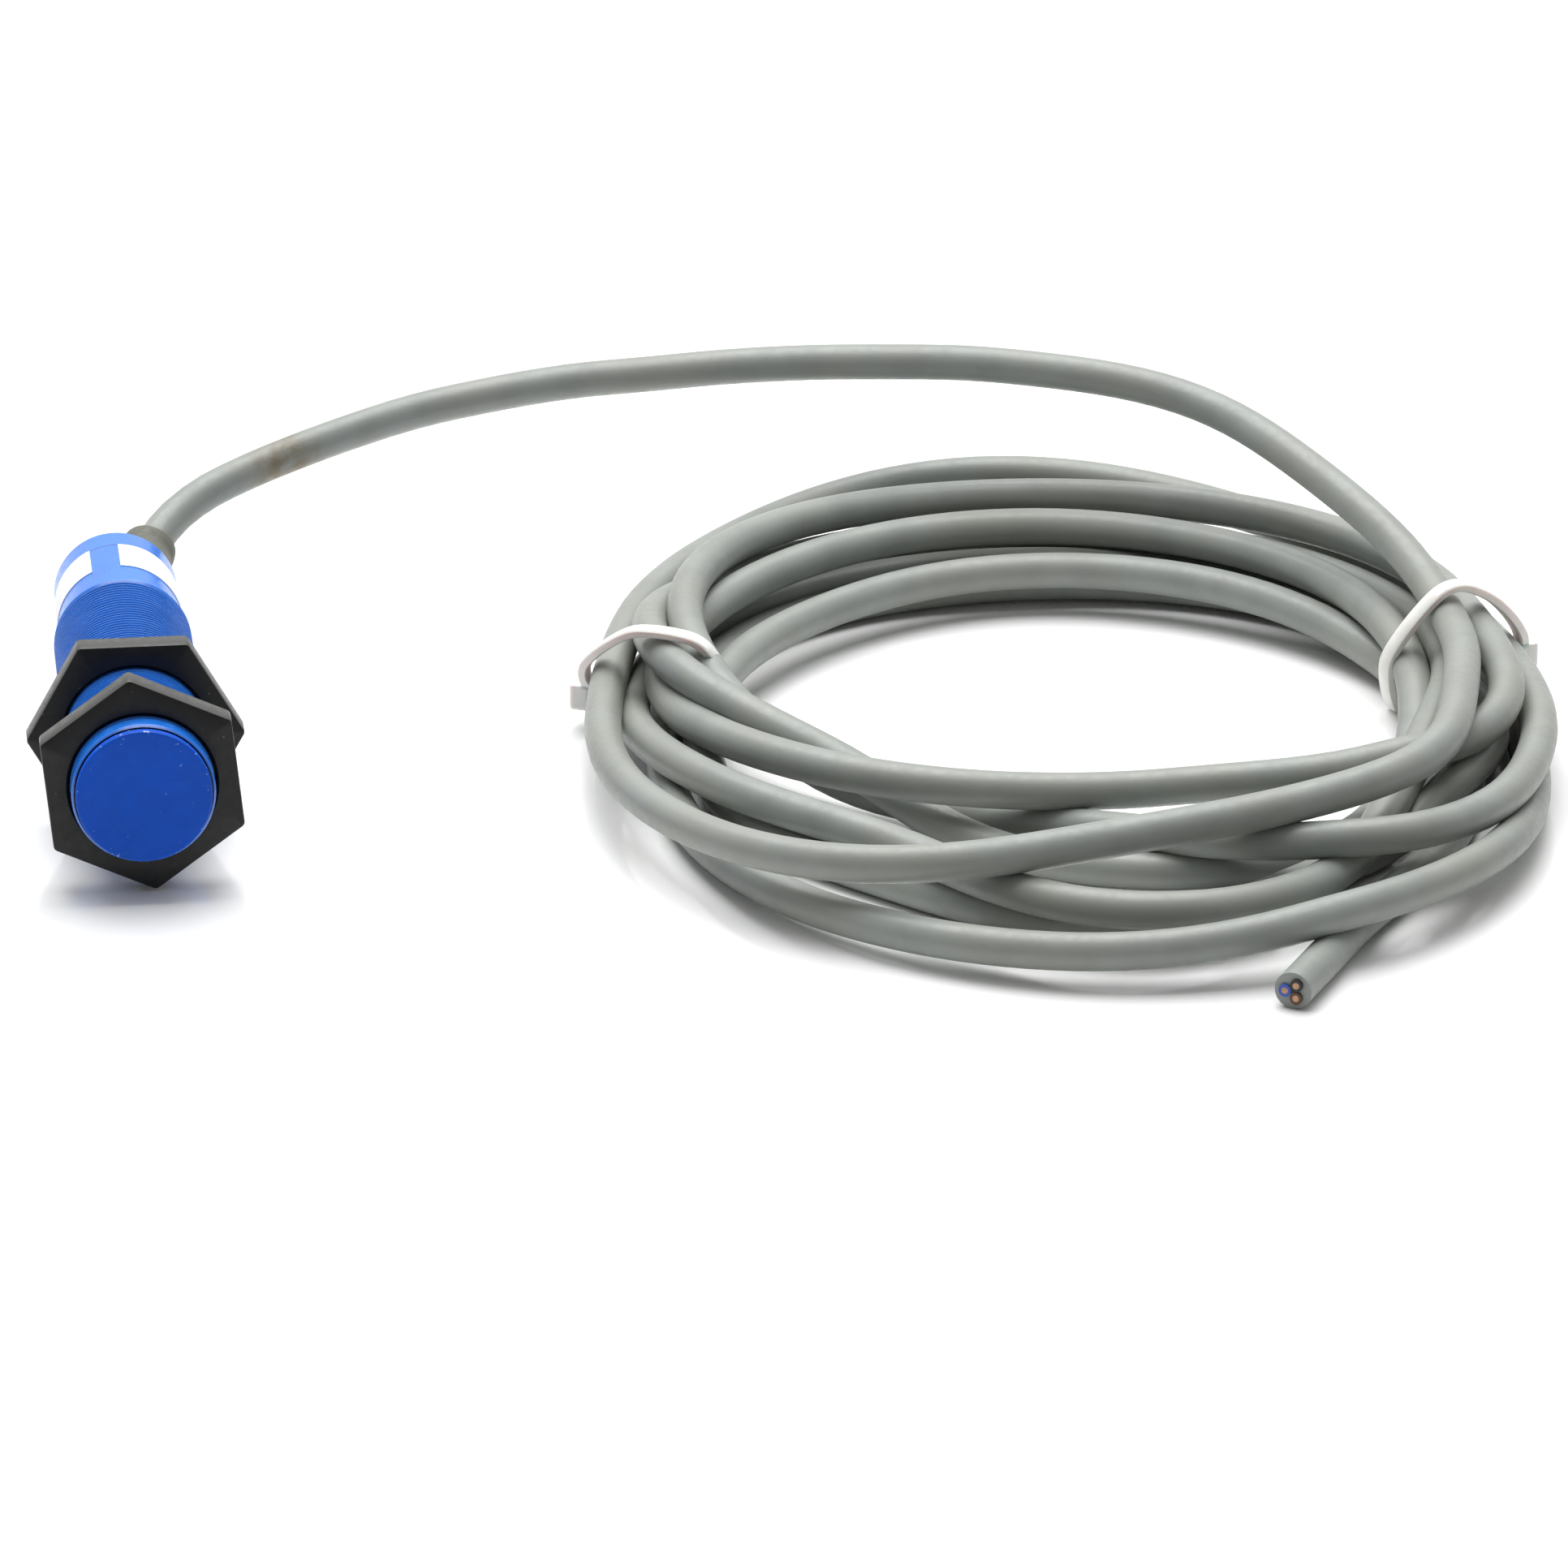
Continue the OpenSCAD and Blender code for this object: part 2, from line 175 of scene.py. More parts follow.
def sharp_at(thing, angle):
    """Leaves the edges that are steeper than angle sharp."""
    mesh = thing.data
    bm = bmesh.new()
    bm.from_mesh(mesh)
    for edge in bm.edges:
        if len(edge.link_faces) == 2:
            edge.smooth = edge.calc_face_angle() < radians(angle)
    bm.to_mesh(mesh)
    bm.free()


def ring(columns):
    """Even angles round a circle, in radians."""
    return [2 * pi * j / columns for j in range(columns)]


def grid_faces(rows, columns, closed_rows=False):
    """Quads between rows of a closed ring of columns."""
    faces = []
    for i in range(rows if closed_rows else rows - 1):
        below = (i + 1) % rows
        for j in range(columns):
            side = (j + 1) % columns
            faces.append((i * columns + j, i * columns + side,
                          below * columns + side, below * columns + j))
    return faces


def corner_arc(centre, radius, start, end):
    """Five points (radius, station) round a corner, from angle start to end."""
    turn = np.radians(np.linspace(start, end, 5))
    return [(centre[0] + radius * cos(a), centre[1] + radius * sin(a)) for a in turn]


# ---------------------------------------------------------------- the lead's route

CABLE_D = 4.8

# The free stretch, from the strain relief's tip to the top of the coil
ROUTE = (
    (5.5, 46.5, 10.5), (7.5, 49.5, 12), (12.5, 53.5, 14.5), (18.5, 56, 16.5),
    (25.5, 58, 18.5), (33, 59.5, 20.5), (41, 60.5, 22.5), (52, 61, 24.5),
    (63, 61, 26), (73.5, 60, 27), (84.5, 59, 28), (95.5, 58, 28.5),
    (106.5, 57, 28.5), (117, 55.5, 28.5), (127.5, 52.5, 28), (136.5, 49.5, 27.5),
    (146.5, 43.5, 26), (152, 36.5, 24.5), (157, 28, 22.5), (161, 21.5, 20.5),
    (164.8, 15, 18.5), (168, 8, 16.3), (170, 2, 14.5),
)

# Each turn's distance from the coil's middle and height above the floor, at eleven places round the
# coil: the right tie is near the first, the left tie near the eighth, and the turns fan apart
# between them. The turns run clockwise seen from above.
COIL_AT = (119.5, -20)
PLACES = (15, -20, -40, -55, -90, -125, -160, -200, -235, -270, -305)
TURNS = (
    ((53, 12.6), (50.7, 12), (54.5, 11.5), (51.5, 11), (50.5, 10.5), (62.5, 9.5),
     (60.5, 7.5), (58.8, 7.5), (70, 9), (80.5, 10.8), (71.5, 8.2)),
    ((62, 6.4), (61, 6), (62, 5.5), (59, 5.5), (32.3, 3.4), (26.5, 2.4),
     (32, 2.4), (50.5, 11.5), (65.5, 11.5), (71.5, 9.6), (68.4, 9.6)),
    ((57.5, 10), (55.5, 6.5), (45, 4.5), (34, 3.6), (27.5, 3.2), (33, 6),
     (40.5, 7), (53.5, 7), (59.5, 8.6), (65, 8.2), (62.3, 7.6)),
    ((50.5, 8), (45.5, 4), (45.5, 2.8), (46, 4), (37, 3), (30, 2.4),
     (31, 6.5), (55.5, 11.5), (66, 6.4), (70, 4.8), (62.5, 5.6)),
    ((53.5, 6.6), (47.5, 6.6), (51, 4), (55.5, 3), (62, 5), (45, 4.5),
     (50, 5.5), (58, 3), (64, 2.4), (67, 2.4), (66, 2.4)),
    ((59.5, 2.4), (60.5, 2.6), (65, 3.6), (67.5, 4), (68.5, 2.4), (62, 2.4),
     (54.5, 2.4), (52.5, 2.4), (58.5, 2.4), (60.2, 2.4), (60.5, 2.4)),
    ((55, 2.4), (54.5, 3.2), (51, 2.6), (49.5, 2.4), (56.5, 2.4), (47.5, 2.4),
     (47.5, 2.4), (48, 6), (51.5, 6), (56.5, 6), (54, 6)),
)
# The last stretch leaves the coil under its turns, at the first four places
LAST_STRETCH = ((50.5, 2.6), (49.7, 2.4), (53, 2.4), (59, 2.4))
# The middle of the cut, the direction from there back along the lead, and the straight part's length
TAIL_AT = (136.5, -97.2)
TAIL_HEADING = 60
TAIL_LEN = 20
# How far the cores stand out of the cut jacket
CORE_PROUD = 0.35

# The distance between the lead's points, and the angle between the coil's points before they're spaced
LEAD_STEP = 3
COIL_STEP = 3
# The lead is held on its route at first, and is free from RUN_FREE before the coil on. The hold
# fades out over the RUN_FADE before that. It comes back over the TAIL_FADE before the straight part.
RUN_FREE = 50
RUN_FADE = 50
TAIL_FADE = 10
# How many times the free part is eased before it settles
EASE_ROUNDS = 10

# Settling: its rounds, the distance it keeps between strands, how many points along the lead count
# as the same strand, the share of an overlap that one round takes off, and the smoothings in a round
SETTLE_ROUNDS = 360
STRAND_GAP = CABLE_D - 0.1
SAME_STRAND = 8
PUSH_SHARE = 0.6
SMOOTHINGS = 3


def smooth_line(knots, values, at):
    """Values at each place along a smooth curve through the knots."""
    knots = np.asarray(knots, float)
    values = np.asarray(values, float)
    slope = np.gradient(values, knots, axis=0)
    i = np.clip(np.searchsorted(knots, at) - 1, 0, len(knots) - 2)
    span = (knots[i + 1] - knots[i])[:, None]
    t = (np.asarray(at) - knots[i])[:, None] / span
    return ((2 * t**3 - 3 * t**2 + 1) * values[i] + (t**3 - 2 * t**2 + t) * span * slope[i]
            + (3 * t**2 - 2 * t**3) * values[i + 1] + (t**3 - t**2) * span * slope[i + 1])


def coil_points():
    """The turns of the coil, worked out from their distances and heights at the named places."""
    angles = []
    sizes = []
    for number, turn in enumerate((*TURNS, LAST_STRETCH)):
        for place, size in zip(PLACES, turn):
            angles.append(360 * number - place)
            sizes.append(size)
    at = np.arange(angles[0], angles[-1] + 0.1, COIL_STEP)
    size = smooth_line(angles, sizes, at)
    turn = np.radians(-at)
    return np.stack([COIL_AT[0] + size[:, 0] * np.cos(turn), COIL_AT[1] + size[:, 0] * np.sin(turn),
                     np.maximum(size[:, 1], CABLE_D / 2)], axis=1)


def along(points):
    """Length along a line up to each of its points."""
    return np.concatenate([[0], np.cumsum(np.linalg.norm(np.diff(points, axis=0), axis=1))])


def evenly(points, spacing):
    """The same line with points at an even spacing."""
    length = along(points)
    count = int(round(length[-1] / spacing))
    return smooth_line(length, points, np.linspace(0, length[-1], count + 1))


def eased(line):
    """The inner points of a line, each drawn halfway to the middle of its neighbours."""
    return 0.5 * line[1:-1] + 0.25 * (line[:-2] + line[2:])


def settle(points, free):
    """Presses the turns apart where they would cut through each other, and keeps the lead smooth
    and on the floor. free is 0 where a point stays, and 1 where it may move."""
    index = np.arange(len(points))
    same_strand = np.abs(index[:, None] - index[None, :]) < SAME_STRAND
    moved = np.zeros_like(points)
    for _ in range(SETTLE_ROUNDS):
        place = points + moved
        apart = place[:, None, :] - place[None, :, :]
        distance = np.linalg.norm(apart, axis=2) + same_strand * 1e3
        overlap = np.clip(STRAND_GAP - distance, 0, None)
        share = overlap / np.maximum(distance, 1e-6)
        push = PUSH_SHARE * (share[:, :, None] * apart).sum(axis=1)
        touching = np.maximum((overlap > 0).sum(axis=1), 1)[:, None]
        moved += push / np.sqrt(touching) * free
        for _ in range(SMOOTHINGS):
            moved[1:-1] = eased(moved)
        moved *= free
        moved[:, 2] += np.clip(CABLE_D / 2 - (points + moved)[:, 2], 0, None)
    return points + moved


def tail_point(distance):
    """A point on the straight part's middle line, this far from the cut."""
    turn = radians(TAIL_HEADING)
    return (TAIL_AT[0] + distance * cos(turn), TAIL_AT[1] + distance * sin(turn), CABLE_D / 2)


def lead_route():
    """Even points along the whole lead."""
    run = np.array(ROUTE)
    tail = np.array([tail_point(TAIL_LEN), tail_point(TAIL_LEN / 2), tail_point(CORE_PROUD)])
    points = evenly(np.concatenate([run, coil_points(), tail]), LEAD_STEP)
    length = along(points)
    held_run = np.clip((along(run)[-1] - RUN_FREE - length) / RUN_FADE, 0, 1)
    held_tail = np.clip((length - length[-1] + TAIL_LEN + TAIL_FADE) / TAIL_FADE, 0, 1)
    free = (1 - np.maximum(held_run, held_tail))[:, None]
    for _ in range(EASE_ROUNDS):
        points[1:-1] += (eased(points) - points[1:-1]) * free[1:-1]
    return settle(points, free)


# ---------------------------------------------------------------- materials

class Paint:
    """Short names for building a material from nodes, in the object's own coordinates in mm."""

    def __init__(self, name, color, roughness, specular=0.5):
        self.material = bpy.data.materials.new(name)
        self.material.use_nodes = True
        self.tree = self.material.node_tree
        self.shader = self.tree.nodes["Principled BSDF"]
        self.shader.inputs["Base Color"].default_value = (*color, 1)
        self.shader.inputs["Roughness"].default_value = roughness
        self.shader.inputs["Specular IOR Level"].default_value = specular
        base = self.add("ShaderNodeRGB")
        base.outputs[0].default_value = (*color, 1)
        self.color = base.outputs[0]
        place = self.add("ShaderNodeTexCoord").outputs["Object"]
        scale = self.add("ShaderNodeVectorMath", operation="SCALE")
        scale.inputs["Scale"].default_value = 1 / MM
        self.link(place, scale.inputs[0])
        self.place = scale.outputs[0]

    def add(self, kind, **settings):
        node = self.tree.nodes.new(kind)
        for key, value in settings.items():
            setattr(node, key, value)
        return node

    def link(self, a, b):
        self.tree.links.new(a, b)

    def vector(self, operation, value, constant):
        """The outputs of a vector operation on a value and a constant."""
        node = self.add("ShaderNodeVectorMath", operation=operation)
        node.inputs[1].default_value = constant
        self.link(value, node.inputs[0])
        return node.outputs

    def noise(self, per_mm, detail=4, stretch=None, rough=0.6):
        """Noise from 0 to 1 with features of about 1/per_mm mm."""
        node = self.add("ShaderNodeTexNoise")
        node.inputs["Scale"].default_value = per_mm
        node.inputs["Detail"].default_value = detail
        node.inputs["Roughness"].default_value = rough
        place = self.place if stretch is None else self.vector("MULTIPLY", self.place, stretch)[0]
        self.link(place, node.inputs["Vector"])
        return node.outputs["Fac"]

    def between(self, value, low, high, to_low=0.0, to_high=1.0):
        """Maps low..high to to_low..to_high, and stays there outside."""
        node = self.add("ShaderNodeMapRange", interpolation_type="SMOOTHSTEP")
        node.inputs["From Min"].default_value = low
        node.inputs["From Max"].default_value = high
        node.inputs["To Min"].default_value = to_low
        node.inputs["To Max"].default_value = to_high
        self.link(value, node.inputs["Value"])
        return node.outputs["Result"]

    def patches(self, per_mm, detail, low, high, amount=1.0, stretch=None, rough=0.6):
        """A mask that is 0 where noise is under low and amount where it is over high."""
        return self.between(self.noise(per_mm, detail, stretch, rough), low, high, 0, amount)

    def math(self, operation, a, b=0):
        node = self.add("ShaderNodeMath", operation=operation)
        for socket, value in zip(node.inputs, (a, b)):
            if isinstance(value, (int, float)):
                socket.default_value = value
            else:
                self.link(value, socket)
        return node.outputs[0]

    def tint(self, mask, color):
        """Paints color over what there is, where mask is 1."""
        node = self.add("ShaderNodeMix", data_type="RGBA")
        self.link(mask, node.inputs["Factor"])
        self.link(self.color, node.inputs["A"])
        node.inputs["B"].default_value = (*color, 1)
        self.color = node.outputs["Result"]
        self.link(self.color, self.shader.inputs["Base Color"])

    def roughen(self, value):
        self.link(value, self.shader.inputs["Roughness"])

    def bump(self, height, depth, strength):
        node = self.add("ShaderNodeBump")
        node.inputs["Distance"].default_value = depth * MM
        node.inputs["Strength"].default_value = strength
        self.link(height, node.inputs["Height"])
        self.link(node.outputs["Normal"], self.shader.inputs["Normal"])

    def behind_face(self):
        """Where a point is, seen from the middle of the sensing face."""
        return self.vector("SUBTRACT", self.place, FACE_AT / MM)[0]

    def station(self):
        """Distance behind the sensing face, along the barrel."""
        return self.vector("DOT_PRODUCT", self.behind_face(), BACK)["Value"]

    def from_axis(self):
        """Distance from the barrel's axis."""
        length = self.add("ShaderNodeVectorMath", operation="LENGTH")
        self.link(self.vector("CROSS_PRODUCT", self.behind_face(), BACK)[0], length.inputs[0])
        return length.outputs["Value"]

    def distance_from(self, point):
        return self.vector("DISTANCE", self.place, point)["Value"]

    def facing(self, axis):
        """1 where the surface faces along an axis either way, and 0 where it lies along it."""
        normal = self.add("ShaderNodeNewGeometry").outputs["Normal"]
        return self.math("ABSOLUTE", self.vector("DOT_PRODUCT", normal, axis)["Value"])


def shade(color, factor):
    return tuple(min(1, c * factor) for c in color)


def moulded(name, color, roughness, grain=3.0, depth=0.02, specular=0.5, wear=0.25):
    """Moulded plastic: slow colour drift, rubbed patches, uneven gloss and a fine grain. grain is
    how many grains there are in a mm and depth how deep they are."""
    paint = Paint(name, color, roughness, specular)
    paint.tint(paint.patches(0.15, 3, 0.35, 0.7), shade(color, 0.88))
    paint.tint(paint.patches(0.6, 6, 0.58, 0.74, wear, rough=0.75), shade(color, 1.35))
    paint.roughen(paint.between(paint.noise(0.9, 5), 0.3, 0.7, roughness * 0.85, roughness * 1.2))
    paint.bump(paint.noise(grain, 3), depth, 0.6)
    return paint


def metal(name, color, roughness):
    """Drawn metal: darker patches, uneven gloss and fine lines."""
    paint = Paint(name, color, roughness)
    paint.shader.inputs["Metallic"].default_value = 1
    paint.tint(paint.patches(0.8, 4, 0.4, 0.7), shade(color, 0.8))
    paint.roughen(paint.between(paint.noise(3, 4), 0.3, 0.7, roughness * 0.8, roughness * 1.3))
    paint.bump(paint.noise(6, 2, (1, 6, 1)), 0.01, 0.5)
    return paint


# Where the thread ends and the end cap begins behind the face, and how far the thread's crests
# are from the axis
THREAD_TO = 62.5
CAP_FROM = 80.1
CREST_R = 9.0


def housing_paint():
    """Glossy blue plastic with painted shade in the thread's roots, rubbed crests with a painted highlight, and a
    parting line.
    """
    paint = moulded("housing_blue", (0.012, 0.165, 0.68), 0.26, grain=1.5, depth=0.002, wear=0.15)
    on_thread = paint.between(paint.station(), THREAD_TO + 0.2, THREAD_TO - 0.2)
    # Painted shade: the thread's roots are darkened all along the thread, where shade falls between the crests.
    deep = paint.between(paint.from_axis(), CREST_R - 0.05, CREST_R - 0.4, 0, 0.9)
    paint.tint(paint.math("MULTIPLY", on_thread, deep), (0.003, 0.025, 0.17))
    # The crests are lighter in patches: partly rubbed wear, partly a painted highlight on the crests.
    crest = paint.between(paint.from_axis(), CREST_R - 0.2, CREST_R)
    rubbed = paint.patches(0.35, 5, 0.45, 0.7, 0.5)
    paint.tint(paint.math("MULTIPLY", crest, rubbed), (0.06, 0.24, 0.75))
    off_line = paint.math("ABSOLUTE", paint.math("SUBTRACT", paint.station(), CAP_FROM))
    paint.tint(paint.between(off_line, 0.22, 0.08, 0, 0.8), (0.006, 0.02, 0.10))
    return paint.material


def face_paint():
    """Satin blue with faint scratches, a few chips near the rim and small pale specks."""
    paint = moulded("face_blue", (0.001, 0.080, 0.56), 0.5, grain=2.0, depth=0.008, specular=0.2,
                    wear=0.04)
    paint.tint(paint.patches(0.5, 2, 0.66, 0.7, 0.35, (1, 1, 9)), (0.03, 0.12, 0.5))
    rim = paint.between(paint.from_axis(), 7.2, 8.2)
    chips = paint.patches(1.1, 5, 0.63, 0.68, rough=0.7)
    paint.tint(paint.math("MULTIPLY", rim, chips), (0.55, 0.62, 0.75))
    paint.tint(paint.patches(1.6, 2, 0.74, 0.77), (0.5, 0.55, 0.68))
    return paint.material


def nut_paint():
    """Black glass-filled plastic with a fine grain, a painted sheen that greys its sides, faint streaks and pale
    specks.
    """
    paint = moulded("nut_black", (0.007, 0.007, 0.006), 0.42, grain=4.0, specular=0.38, wear=0.1)
    # Painted sheen: the hexagon's flat sides are greyer than the nut's faces, standing in for light glancing off
    # them.
    paint.tint(paint.between(paint.facing(BACK), 0.6, 0.3), (0.04, 0.04, 0.038))
    paint.tint(paint.patches(0.7, 5, 0.6, 0.8, 0.3, (1, 3, 1)), (0.03, 0.03, 0.028))
    paint.tint(paint.patches(2.2, 2, 0.72, 0.76, 0.5), (0.2, 0.2, 0.19))
    return paint.material


# The middle of a brown smudge on the lead's free stretch
SMUDGE_AT = (24, 56, 17)


def jacket_paint():
    """Soft grey PVC, a little yellowed, with faint scuffs, dark specks and one brown smudge."""
    paint = moulded("jacket_grey", (0.27, 0.288, 0.27), 0.42, grain=1.2, depth=0.03, wear=0.1)
    paint.tint(paint.patches(0.05, 3, 0.4, 0.65, 0.5), (0.26, 0.262, 0.225))
    paint.tint(paint.patches(0.45, 6, 0.64, 0.75, 0.3, rough=0.8), (0.18, 0.175, 0.15))
    paint.tint(paint.patches(2.6, 2, 0.74, 0.78, 0.5), (0.12, 0.115, 0.10))
    near = paint.between(paint.distance_from(SMUDGE_AT), 7, 2)
    patchy = paint.between(paint.noise(0.5, 3), 0.3, 0.65, 0.2, 0.85)
    paint.tint(paint.math("MULTIPLY", near, patchy), (0.17, 0.13, 0.07))
    return paint.material


def label_paint():
    """White film with a few faint grey smears."""
    paint = moulded("label_white", (0.80, 0.82, 0.84), 0.45, grain=1.5, depth=0.008, wear=0.0)
    paint.tint(paint.patches(0.5, 5, 0.55, 0.75, 0.3), (0.62, 0.65, 0.68))
    return paint.material


def nylon_paint():
    """Natural nylon, which lets some light in."""
    paint = moulded("tie_nylon", (0.80, 0.81, 0.78), 0.35, grain=2.0, depth=0.01, wear=0.0)
    paint.shader.inputs["Subsurface Weight"].default_value = 0.35
    paint.shader.inputs["Subsurface Scale"].default_value = 0.0015
    return paint.material


def led_paint():
    """Amber plastic, slightly see-through."""
    paint = moulded("led_amber", (0.95, 0.50, 0.05), 0.12, grain=1.0, depth=0.004, wear=0.0)
    paint.shader.inputs["Transmission Weight"].default_value = 0.4
    return paint.material


PAINTS = {
    "housing_blue": housing_paint(),
    "face_blue": face_paint(),
    "nut_black": nut_paint(),
    "jacket_grey": jacket_paint(),
    "label_white": label_paint(),
    "tie_nylon": nylon_paint(),
    "led_amber": led_paint(),
    "boot_grey": moulded("boot_grey", (0.12, 0.125, 0.10), 0.65, grain=2.0).material,
    "brass": metal("brass", (0.80, 0.58, 0.25), 0.3).material,
    "copper": metal("copper", (0.50, 0.30, 0.19), 0.5).material,
    "tinned": metal("tinned", (0.70, 0.70, 0.72), 0.35).material,
    "core_brown": moulded("core_brown", (0.10, 0.045, 0.02), 0.45).material,
    "core_blue": moulded("core_blue", (0.03, 0.09, 0.42), 0.45).material,
    "core_black": moulded("core_black", (0.012, 0.012, 0.012), 0.45).material,
    "board_green": moulded("board_green", (0.012, 0.12, 0.04), 0.35).material,
    "chip_black": moulded("chip_black", (0.02, 0.02, 0.022), 0.5).material,
    "capacitor_tan": moulded("capacitor_tan", (0.48, 0.32, 0.17), 0.4).material,
    "tantalum_amber": moulded("tantalum_amber", (0.70, 0.35, 0.04), 0.45).material,
    "trimmer_blue": moulded("trimmer_blue", (0.015, 0.06, 0.34), 0.35).material,
    "resin_brown": moulded("resin_brown", (0.05, 0.04, 0.02), 0.2).material,
    "carrier_ivory": moulded("carrier_ivory", (0.78, 0.73, 0.58), 0.45).material,
}


def paint_nodes():
    """Gives every CAD node the paint of its own slot in the record."""
    slots = {part["node"]: part["material_slot"] for part in record["subparts"]}
    for name, thing in frame["nodes"].items():
        thing.data.materials.clear()
        thing.data.materials.append(PAINTS[slots[name]])


# ---------------------------------------------------------------- the lead

def build_lead():
    """The whole lead as one round curve from the strain relief to its cut face."""
    points = lead_route()
    curve = bpy.data.curves.new("cable", "CURVE")
    curve.dimensions = "3D"
    curve.bevel_depth = CABLE_D / 2 * MM
    curve.bevel_resolution = 8
    curve.use_fill_caps = True
    spline = curve.splines.new("POLY")
    spline.points.add(len(points) - 1)
    for knot, point in zip(spline.points, points):
        knot.co = (*(point * MM), 1)
    spline.use_smooth = True
    curve.materials.append(PAINTS["jacket_grey"])
    cable = bpy.data.objects.new("cable", curve)
    bpy.context.scene.collection.objects.link(cable)
    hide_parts("cable_run", "cable_coil", "cable_tail")
    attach(cable, "sensor")
    return cable, points


# ---------------------------------------------------------------- ties

# Where the ties are round the coil, by angle from +X towards +Y
LEFT_TIE_AT = 158
RIGHT_TIE_AT = 19
# A strap's width and thickness, and its outline in shares of half of each: a band with cut corners
TIE_WIDTH = 2.6
TIE_THICK = 1.2
TIE_OUTLINE = ((1, 0.7), (0.8, 1), (-0.8, 1), (-1, 0.7), (-1, -0.7), (-0.8, -1), (0.8, -1), (1, -0.7))
# A strap is pulled round the strands in this many directions, and this many smoothings stiffen it
TIE_DIRECTIONS = 180
TIE_SMOOTHINGS = 25
# The distance between a strap's sections, and the least height of any of its points
TIE_STEP = 0.8
TIE_LOWEST = 0.05
# How far a tie's top leans along the lead, and which way: both lean towards the front
TIE_LEAN = 6
LEFT_LEAN = 1
RIGHT_LEAN = -1
# The lock heads: their size outwards, along the lead and upwards, how rounded their edges are, how
# far their middles are outside the strap's middle line, and how high those are above the floor
HEAD_SIZE = (2.8, 4.2, 3.6)
HEAD_BEVEL = 0.5
HEAD_OUT = 0.5
LEFT_HEAD_UP = 4.5
RIGHT_HEAD_UP = 6


def strands_at(points, angle):
    """Where the lead passes a half plane from the coil's middle: places (outwards, up)."""
    turn = radians(angle)
    outwards = np.array([cos(turn), sin(turn)])
    across = np.array([-sin(turn), cos(turn)])
    offset = points[:, :2] - np.array(COIL_AT)
    side = offset @ across
    out = offset @ outwards
    places = []
    for i in range(len(points) - 1):
        if side[i] * side[i + 1] <= 0 and out[i] > 0 and side[i] != side[i + 1]:
            share = side[i] / (side[i] - side[i + 1])
            spot = points[i] + share * (points[i + 1] - points[i])
            places.append(((spot[:2] - np.array(COIL_AT)) @ outwards, spot[2]))
    return np.array(places)


def strap_loop(strands):
    """The middle line of a strap pulled round strands, as even places (outwards, up). In each
    direction the strap lies as far out as the furthest strand, smoothed and then let out again
    until it clears them all."""
    turns = np.linspace(0, 2 * pi, TIE_DIRECTIONS, endpoint=False)
    outwards = np.stack([np.cos(turns), np.sin(turns)], axis=1)
    sideways = np.stack([-np.sin(turns), np.cos(turns)], axis=1)
    tight = (strands @ outwards.T).max(axis=0) + (CABLE_D + TIE_THICK) / 2
    reach = tight.copy()
    for _ in range(TIE_SMOOTHINGS):
        reach = 0.5 * reach + 0.25 * (np.roll(reach, 1) + np.roll(reach, -1))
    reach += (tight - reach).max()
    slope = (np.roll(reach, -1) - np.roll(reach, 1)) / (2 * turns[1])
    loop = reach[:, None] * outwards + slope[:, None] * sideways
    loop[:, 1] = np.maximum(loop[:, 1], TIE_THICK / 2)
    return evenly(np.concatenate([loop, loop[:1]]), TIE_STEP)[:-1]


def build_tie(name, node, points, angle, head_up, way):
    """A nylon tie pulled round the turns, with its lock head on the outside."""
    loop = strap_loop(strands_at(points, angle))
    heading = np.roll(loop, -1, axis=0) - np.roll(loop, 1, axis=0)
    heading /= np.linalg.norm(heading, axis=1)[:, None]
    facing = np.stack([heading[:, 1], -heading[:, 0]], axis=1)
    turn = radians(angle)
    plane = Matrix.Translation(Vector((*COIL_AT, 0)) * MM) @ Matrix(
        [(cos(turn) * MM, -sin(turn) * MM, 0), (sin(turn) * MM, cos(turn) * MM, 0),
         (0, 0, MM)]).to_4x4()
    lean = way * TIE_LEAN / loop[:, 1].max()
    verts = []
    for place, face in zip(loop, facing):
        for wide, thick in TIE_OUTLINE:
            out, up = place + face * (thick * TIE_THICK / 2)
            verts.append((out, wide * TIE_WIDTH / 2 + lean * up, max(up, TIE_LOWEST)))
    faces = grid_faces(len(loop), len(TIE_OUTLINE), True)
    tie = new_object(name, verts, faces, PAINTS["tie_nylon"], plane)
    add_head(tie, plane, (loop[:, 0].max() + HEAD_OUT, lean * head_up, head_up))
    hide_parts(node)
    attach(tie, "sensor")


def add_head(tie, plane, centre):
    """Joins a lock head, a bevelled box in the tie's own plane, to its strap."""
    box = bmesh.new()
    bmesh.ops.create_cube(box, size=1)
    for v in box.verts:
        v.co = Vector([c + k * s for c, k, s in zip(centre, v.co, HEAD_SIZE)])
    bmesh.ops.bevel(box, geom=box.edges[:], offset=HEAD_BEVEL, segments=2, affect="EDGES", profile=0.5)
    for v in box.verts:
        v.co = plane @ v.co
    head = bpy.data.meshes.new("head")
    box.to_mesh(head)
    box.free()
    joined = bmesh.new()
    joined.from_mesh(tie.data)
    joined.from_mesh(head)
    bmesh.ops.recalc_face_normals(joined, faces=joined.faces)
    joined.to_mesh(tie.data)
    joined.free()
    bpy.data.meshes.remove(head)
    sharp_at(tie, 40)


# ---------------------------------------------------------------- nuts

NUT_FLATS = 24.0
NUT_T = 4.0
# The bore, and the depth and number of the ring grooves in it
NUT_BORE = 18.14
NUT_GROOVE = 0.45
NUT_GROOVES = 3
# How far in from the nut's two faces the first crest of the bore is
NUT_LEAD_IN = 0.5
# The rounding of the rims, as (in from the nut's face, in from its side), and of the corners
NUT_RIM = ((0, 0.25), (0.08, 0.08), (0.25, 0))
NUT_CORNER_CUT = 0.12
NUT_COLUMNS = 360
# Where each nut begins behind the sensing face, and how far it's turned, in radians
FRONT_NUT_AT = 4.4
FRONT_NUT_TURN = radians(24.5)
REAR_NUT_AT = 23.8
REAR_NUT_TURN = 0.0


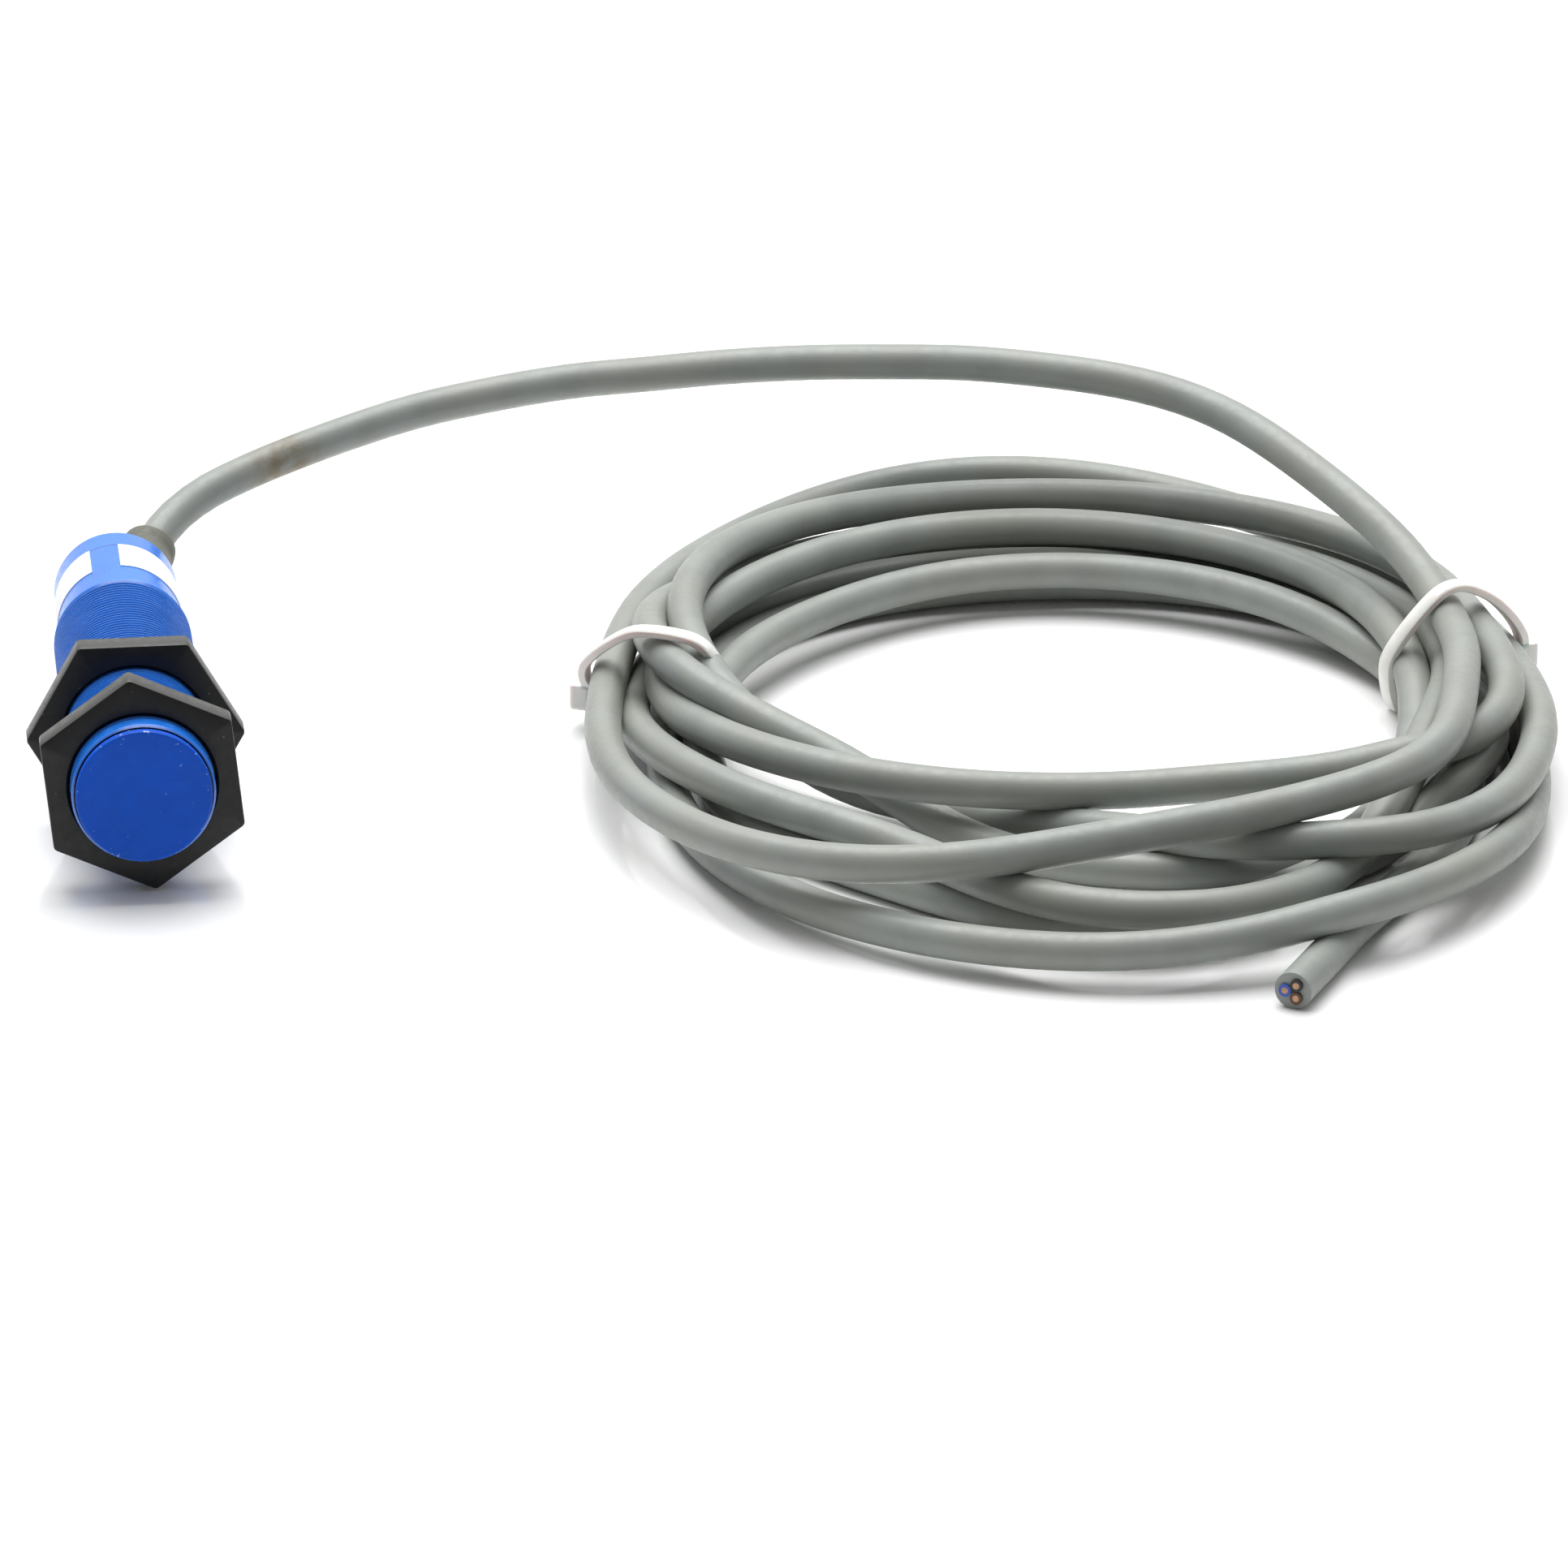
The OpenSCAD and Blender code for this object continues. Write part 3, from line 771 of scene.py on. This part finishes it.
def hexagon(angle, turned, inset):
    """How far a nut's side is from its axis in a direction, with its corners cut to a circle.
    Both angles are in radians."""
    from_flat = (angle - turned) % (pi / 3) - pi / 6
    corner = NUT_FLATS / 2 / cos(pi / 6)
    return min((NUT_FLATS / 2 - inset) / cos(from_flat), corner - NUT_CORNER_CUT - inset)


def build_nut(name, node, station, turned):
    """A hexagon nut with rounded rims and a grooved bore."""
    half = NUT_T / 2
    outside = [(inward - half, inset) for inward, inset in NUT_RIM]
    outside += [(half - inward, inset) for inward, inset in reversed(NUT_RIM)]
    crest = NUT_BORE / 2
    root = crest + NUT_GROOVE
    bore = [(half, root)]
    for k in range(2 * NUT_GROOVES + 1):
        bore.append(((half - NUT_LEAD_IN) * (1 - k / NUT_GROOVES), root if k % 2 else crest))
    bore.append((-half, root))
    angles = ring(NUT_COLUMNS)
    rows = [(z, [hexagon(angle, turned, inset) for angle in angles]) for z, inset in outside]
    rows += [(z, [radius] * NUT_COLUMNS) for z, radius in bore]
    verts = []
    for z, radii in rows:
        for angle, radius in zip(angles, radii):
            verts.append((radius * cos(angle), radius * sin(angle), station + half + z))
    nut = new_object(name, verts, grid_faces(len(rows), NUT_COLUMNS, True), PAINTS["nut_black"], SENSOR)
    sharp_at(nut, 28)
    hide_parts(node)
    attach(nut, node)


# ---------------------------------------------------------------- sensing face and strain relief

# The sensing face: its radius, thickness and rounding, how far the flat part stops short of the
# rim, and the pinhole in its middle, which keeps the lathed outline off the axis
FACE_R = 8.5
FACE_T = 1.2
FACE_EDGE = 0.3
FACE_MARGIN = 0.5
PINHOLE_R = 0.02
FACE_COLUMNS = 128


def build_face():
    """The sensing face: a disc with a softly rounded edge, turned round the barrel's axis."""
    profile = [(PINHOLE_R, 0.0), (FACE_R - FACE_MARGIN, 0.0)]
    profile += corner_arc((FACE_R - FACE_EDGE, FACE_EDGE), FACE_EDGE, -90, 0)
    profile += [(FACE_R, FACE_T), (PINHOLE_R, FACE_T)]
    verts = []
    for radius, station in profile:
        verts += [(radius * cos(angle), radius * sin(angle), station) for angle in ring(FACE_COLUMNS)]
    faces = grid_faces(len(profile), FACE_COLUMNS, True)
    face = new_object("face_disc", verts, faces, PAINTS["face_blue"], SENSOR)
    sharp_at(face, 40)
    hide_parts("sensing_face")
    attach(face, "sensor")


# The strain relief's middle line, as (right, up, behind the face), and its radius there
BOOT = (
    ((4.0, 1.8, 85.7), 3.7), ((4.0, 1.8, 88.6), 3.7), ((4.0, 1.8, 91.4), 3.7),
    ((4.25, 2.05, 93.4), 3.75), ((4.75, 2.55, 94.9), 3.75), ((5.2, 2.95, 95.8), 3.55),
    ((5.45, 3.2, 96.3), 3.15), ((5.6, 3.35, 96.55), 2.5),
)
BOOT_ROWS = 40
BOOT_COLUMNS = 64


def build_boot():
    """The moulded strain relief: a round boot that leans with the lead and closes on it softly."""
    knots = np.arange(len(BOOT))
    places = np.array([(right, -up, station) for (right, up, station), _ in BOOT])
    radii = np.array([(radius,) for _, radius in BOOT])
    at = np.linspace(0, len(BOOT) - 1, BOOT_ROWS)
    path = smooth_line(knots, places, at)
    radius = smooth_line(knots, radii, at)[:, 0]
    verts = []
    for place, way, size in zip(path, np.gradient(path, axis=0), radius):
        way = Vector(way).normalized()
        side = way.cross(Vector((0, 1, 0))).normalized()
        other = way.cross(side)
        for angle in ring(BOOT_COLUMNS):
            verts.append(Vector(place) + (cos(angle) * side + sin(angle) * other) * float(size))
    faces = grid_faces(BOOT_ROWS, BOOT_COLUMNS)
    faces.append(tuple(range(BOOT_COLUMNS)))
    faces.append(tuple(range(len(verts) - BOOT_COLUMNS, len(verts))))
    boot = new_object("boot", verts, faces, PAINTS["boot_grey"], SENSOR)
    sharp_at(boot, 50)
    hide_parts("strain_relief")
    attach(boot, "sensor")


# ---------------------------------------------------------------- put together

add_camera()
add_surroundings()
add_light()
paint_nodes()
cable, lead = build_lead()
build_tie("tie_left", "cable_tie_left", lead, LEFT_TIE_AT, LEFT_HEAD_UP, LEFT_LEAN)
build_tie("tie_right", "cable_tie_right", lead, RIGHT_TIE_AT, RIGHT_HEAD_UP, RIGHT_LEAN)
build_nut("nut_front", "front_nut", FRONT_NUT_AT, FRONT_NUT_TURN)
build_nut("nut_rear", "rear_nut", REAR_NUT_AT, REAR_NUT_TURN)
build_face()
build_boot()
add_floor()
